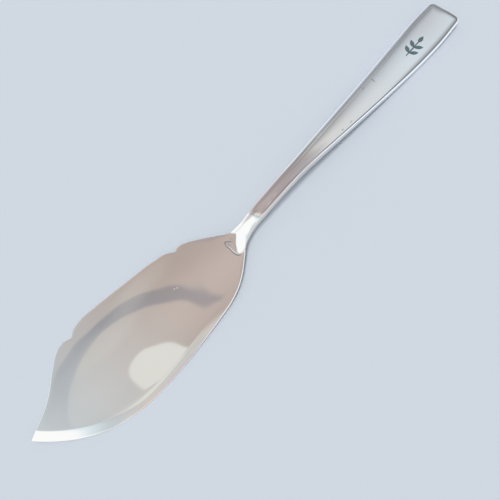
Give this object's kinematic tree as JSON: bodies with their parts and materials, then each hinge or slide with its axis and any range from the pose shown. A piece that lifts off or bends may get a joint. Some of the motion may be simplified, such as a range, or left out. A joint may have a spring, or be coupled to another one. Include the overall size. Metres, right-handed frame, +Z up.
{
  "type": "table fish knife",
  "caption": "Silver-plated table fish knife with a broad leaf blade, a notched spine, an arched neck and a flared handle with a raised thread border.",
  "frame": {"origin": "middle of the outline's box, on the table that the knife lies on", "axes": "+X runs from the blade's point to the end of the handle, +Y towards the notched spine, +Z up out of the bordered face"},
  "size_m": [0.2032, 0.033, 0.0092],
  "materials": {
    "silver_plate": "polished silver plate with fine wear scratches"
  },
  "bodies": {
    "root": {"fish_knife": "silver_plate"}
  },
  "joints": []
}
